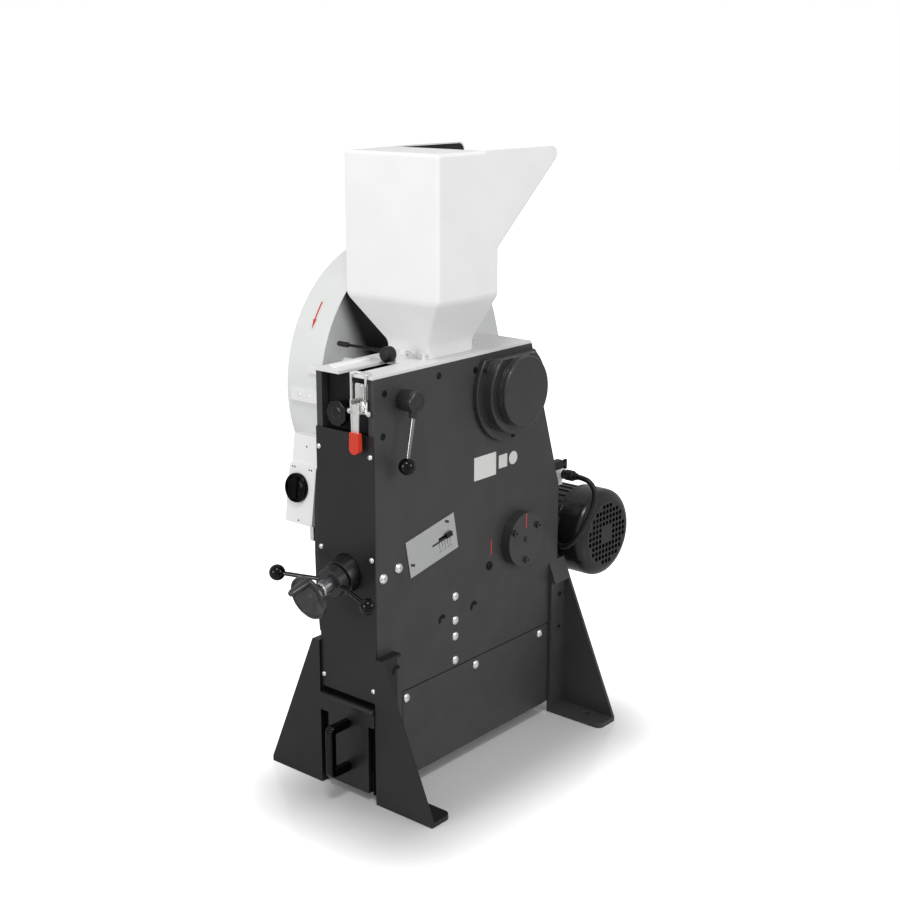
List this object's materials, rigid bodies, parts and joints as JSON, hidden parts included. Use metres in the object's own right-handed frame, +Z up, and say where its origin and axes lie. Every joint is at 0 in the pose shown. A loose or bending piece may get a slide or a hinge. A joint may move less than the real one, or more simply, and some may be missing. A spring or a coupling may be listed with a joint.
{
  "type": "laboratory jaw crusher",
  "caption": "Narrow floor-standing jaw crusher with a tall feed hopper, guarded flywheel, rear motor, gap spindle with handwheel and lock lever, toggle clamp and collecting drawer.",
  "frame": {"origin": "on the floor, at the centre of the four floor bolt holes", "axes": "+Z up; -Y is the front, with the handwheel and the drawer; +X is the machine's right, with the gap scale; the flywheel guard is on the -X side and the motor at +Y"},
  "size_m": [0.454, 0.9168, 1.16],
  "materials": {
    "body_paint": "satin",
    "white_paint": "satin",
    "grey_paint": "satin",
    "bright_steel": "brushed",
    "dark_steel": "machined",
    "manganese_steel": "rough",
    "cast_iron": "rough",
    "zinc": "zinc plated",
    "black_plastic": "gloss",
    "matt_plastic": "matte",
    "red_plastic": "gloss",
    "rubber": "matte",
    "anodised": "anodised"
  },
  "bodies": {
    "frame": {"arm_pivot_pin": "dark_steel", "bearing_housings": "body_paint", "cable_plug": "matt_plastic", "cable_socket": "white_paint", "chamber_walls": "manganese_steel", "clamp_base": "zinc", "fan_cover": "body_paint", "flywheel_guard": "grey_paint", "front_cover": "body_paint", "front_feet": "body_paint", "guard_brackets": "grey_paint", "hopper_hinge": "white_paint", "left_hood": "body_paint", "left_side_plate": "body_paint", "lower_side_covers": "body_paint", "motor_cable": "rubber", "motor_frame": "body_paint", "motor_mount": "body_paint", "rails": "dark_steel", "rear_cover": "body_paint", "rear_feet": "body_paint", "recess_panel": "matt_plastic", "right_side_plate": "body_paint", "scale_plate": "anodised", "screws": "zinc", "spindle_block": "body_paint", "switch_box": "grey_paint", "toggle_plate": "dark_steel", "toggle_seat": "dark_steel", "top_plate": "white_paint", "v_belts": "rubber"},
    "flywheel_rotor": {"flywheel": "cast_iron", "eccentric_shaft": "dark_steel"},
    "swing_jaw_body": {"swing_jaw": "cast_iron", "swing_jaw_plate": "manganese_steel"},
    "motor_rotor": {"motor_pulley": "cast_iron", "motor_shaft": "dark_steel"},
    "jaw_arm_body": {"jaw_arm": "cast_iron", "arm_jaw_plate": "manganese_steel"},
    "spindle_body": {"spindle": "bright_steel", "handwheel": "black_plastic"},
    "crank_grip_body": {"crank_grip": "black_plastic"},
    "nut_body": {"spindle_nut": "bright_steel"},
    "pointer_body": {"gap_pointer": "matt_plastic"},
    "lock_lever_body": {"lock_lever": "black_plastic"},
    "side_lever_body": {"side_lever": "black_plastic"},
    "clamp_handle_body": {"clamp_handle": "zinc", "clamp_grip": "red_plastic"},
    "clamp_bail_body": {"clamp_bail": "zinc"},
    "front_knob_body": {"front_knob": "black_plastic"},
    "top_lever_body": {"top_lever": "matt_plastic"},
    "latch_pin_body": {"latch_pin": "dark_steel"},
    "hopper_body": {"hopper": "white_paint", "hopper_liner": "rubber"},
    "drawer_body": {"drawer_box": "bright_steel", "drawer_front": "body_paint", "drawer_handle": "black_plastic"},
    "switch_body": {"switch_knob": "matt_plastic"},
    "zero_disc_body": {"zero_disc": "body_paint"},
    "wing_screw_body": {"wing_screw": "bright_steel"}
  },
  "joints": [
    {"name": "flywheel_spin", "type": "hinge", "parent": "frame", "child": "flywheel_rotor", "pos_m": [0, 0.088, 0.715], "axis": [1, 0, 0], "continuous": true},
    {"name": "jaw_carry", "type": "hinge", "parent": "flywheel_rotor", "child": "swing_jaw_body", "pos_m": [0, 0.0905, 0.715], "axis": [1, 0, 0], "continuous": true},
    {"name": "motor_spin", "type": "hinge", "parent": "frame", "child": "motor_rotor", "pos_m": [0, 0.393, 0.356], "axis": [1, 0, 0], "continuous": true},
    {"name": "spindle_turn", "type": "hinge", "parent": "frame", "child": "spindle_body", "pos_m": [0, -0.281, 0.4315], "axis": [0, -0.9781, -0.2079], "range_deg": [0, 2520]},
    {"name": "nut_slide", "type": "slide", "parent": "frame", "child": "nut_body", "axis": [0, -0.9781, -0.2079], "range_m": [0, 0.0281]},
    {"name": "jaw_arm_tilt", "type": "hinge", "parent": "frame", "child": "jaw_arm_body", "pos_m": [0, -0.205, 0.744], "axis": [-1, 0, 0], "range_deg": [0, 5.54]},
    {"name": "pointer_slide", "type": "slide", "parent": "frame", "child": "pointer_body", "axis": [0, -0.9816, -0.1908], "range_m": [0, 0.0241]},
    {"name": "lock_lever_turn", "type": "hinge", "parent": "frame", "child": "lock_lever_body", "pos_m": [0, -0.281, 0.4315], "axis": [0, -0.9781, -0.2079], "range_deg": [-60, 60]},
    {"name": "crank_grip_spin", "type": "hinge", "parent": "spindle_body", "child": "crank_grip_body", "pos_m": [0.00765, -0.38962, 0.44228], "axis": [0, -0.9781, -0.2079], "continuous": true},
    {"name": "side_lever_turn", "type": "hinge", "parent": "frame", "child": "side_lever_body", "pos_m": [0.098, -0.205, 0.744], "axis": [1, 0, 0], "range_deg": [-90, 90]},
    {"name": "clamp_handle_lift", "type": "hinge", "parent": "frame", "child": "clamp_handle_body", "pos_m": [0.04, -0.286, 0.744], "axis": [-1, 0, 0], "range_deg": [0, 100]},
    {"name": "clamp_bail_swing", "type": "hinge", "parent": "clamp_handle_body", "child": "clamp_bail_body", "pos_m": [0.04, -0.284, 0.731], "axis": [1, 0, 0], "range_deg": [0, 126]},
    {"name": "front_knob_turn", "type": "hinge", "parent": "frame", "child": "front_knob_body", "pos_m": [-0.015, -0.263, 0.721], "axis": [0, 1, 0], "range_deg": [0, 720]},
    {"name": "top_lever_lift", "type": "hinge", "parent": "frame", "child": "top_lever_body", "pos_m": [0.001, -0.1685, 0.8095], "axis": [0, 1, 0], "range_deg": [0, 75]},
    {"name": "latch_pin_slide", "type": "slide", "parent": "frame", "child": "latch_pin_body", "axis": [-1, 0, 0], "range_m": [0, 0.025]},
    {"name": "hopper_tilt", "type": "hinge", "parent": "frame", "child": "hopper_body", "pos_m": [-0.01, 0.036, 0.803], "axis": [-1, 0, 0], "range_deg": [0, 80]},
    {"name": "drawer_slide", "type": "slide", "parent": "frame", "child": "drawer_body", "axis": [0, -1, 0], "range_m": [0, 0.34]},
    {"name": "switch_turn", "type": "hinge", "parent": "frame", "child": "switch_body", "pos_m": [-0.19, -0.208, 0.537], "axis": [0, -0.9903, 0.1392], "range_deg": [0, 90]},
    {"name": "zero_disc_turn", "type": "hinge", "parent": "frame", "child": "zero_disc_body", "pos_m": [0, 0.13, 0.408], "axis": [1, 0, 0], "range_deg": [-30, 30]},
    {"name": "wing_screw_turn", "type": "hinge", "parent": "frame", "child": "wing_screw_body", "pos_m": [0.052, 0.28, 0.517], "axis": [0, 1, 0], "range_deg": [0, 360]}
  ],
  "couplings": [
    {"joint": "jaw_carry", "follows": "flywheel_spin", "ratio": -1},
    {"joint": "motor_spin", "follows": "flywheel_spin", "ratio": 4.9},
    {"joint": "nut_slide", "follows": "spindle_turn", "m_per_rad": 0.00063662},
    {"joint": "jaw_arm_tilt", "follows": "spindle_turn", "ratio": 0.0021944},
    {"joint": "pointer_slide", "follows": "spindle_turn", "m_per_rad": 0.00054567},
    {"joint": "clamp_bail_swing", "follows": "clamp_handle_lift", "ratio": 1.25}
  ]
}
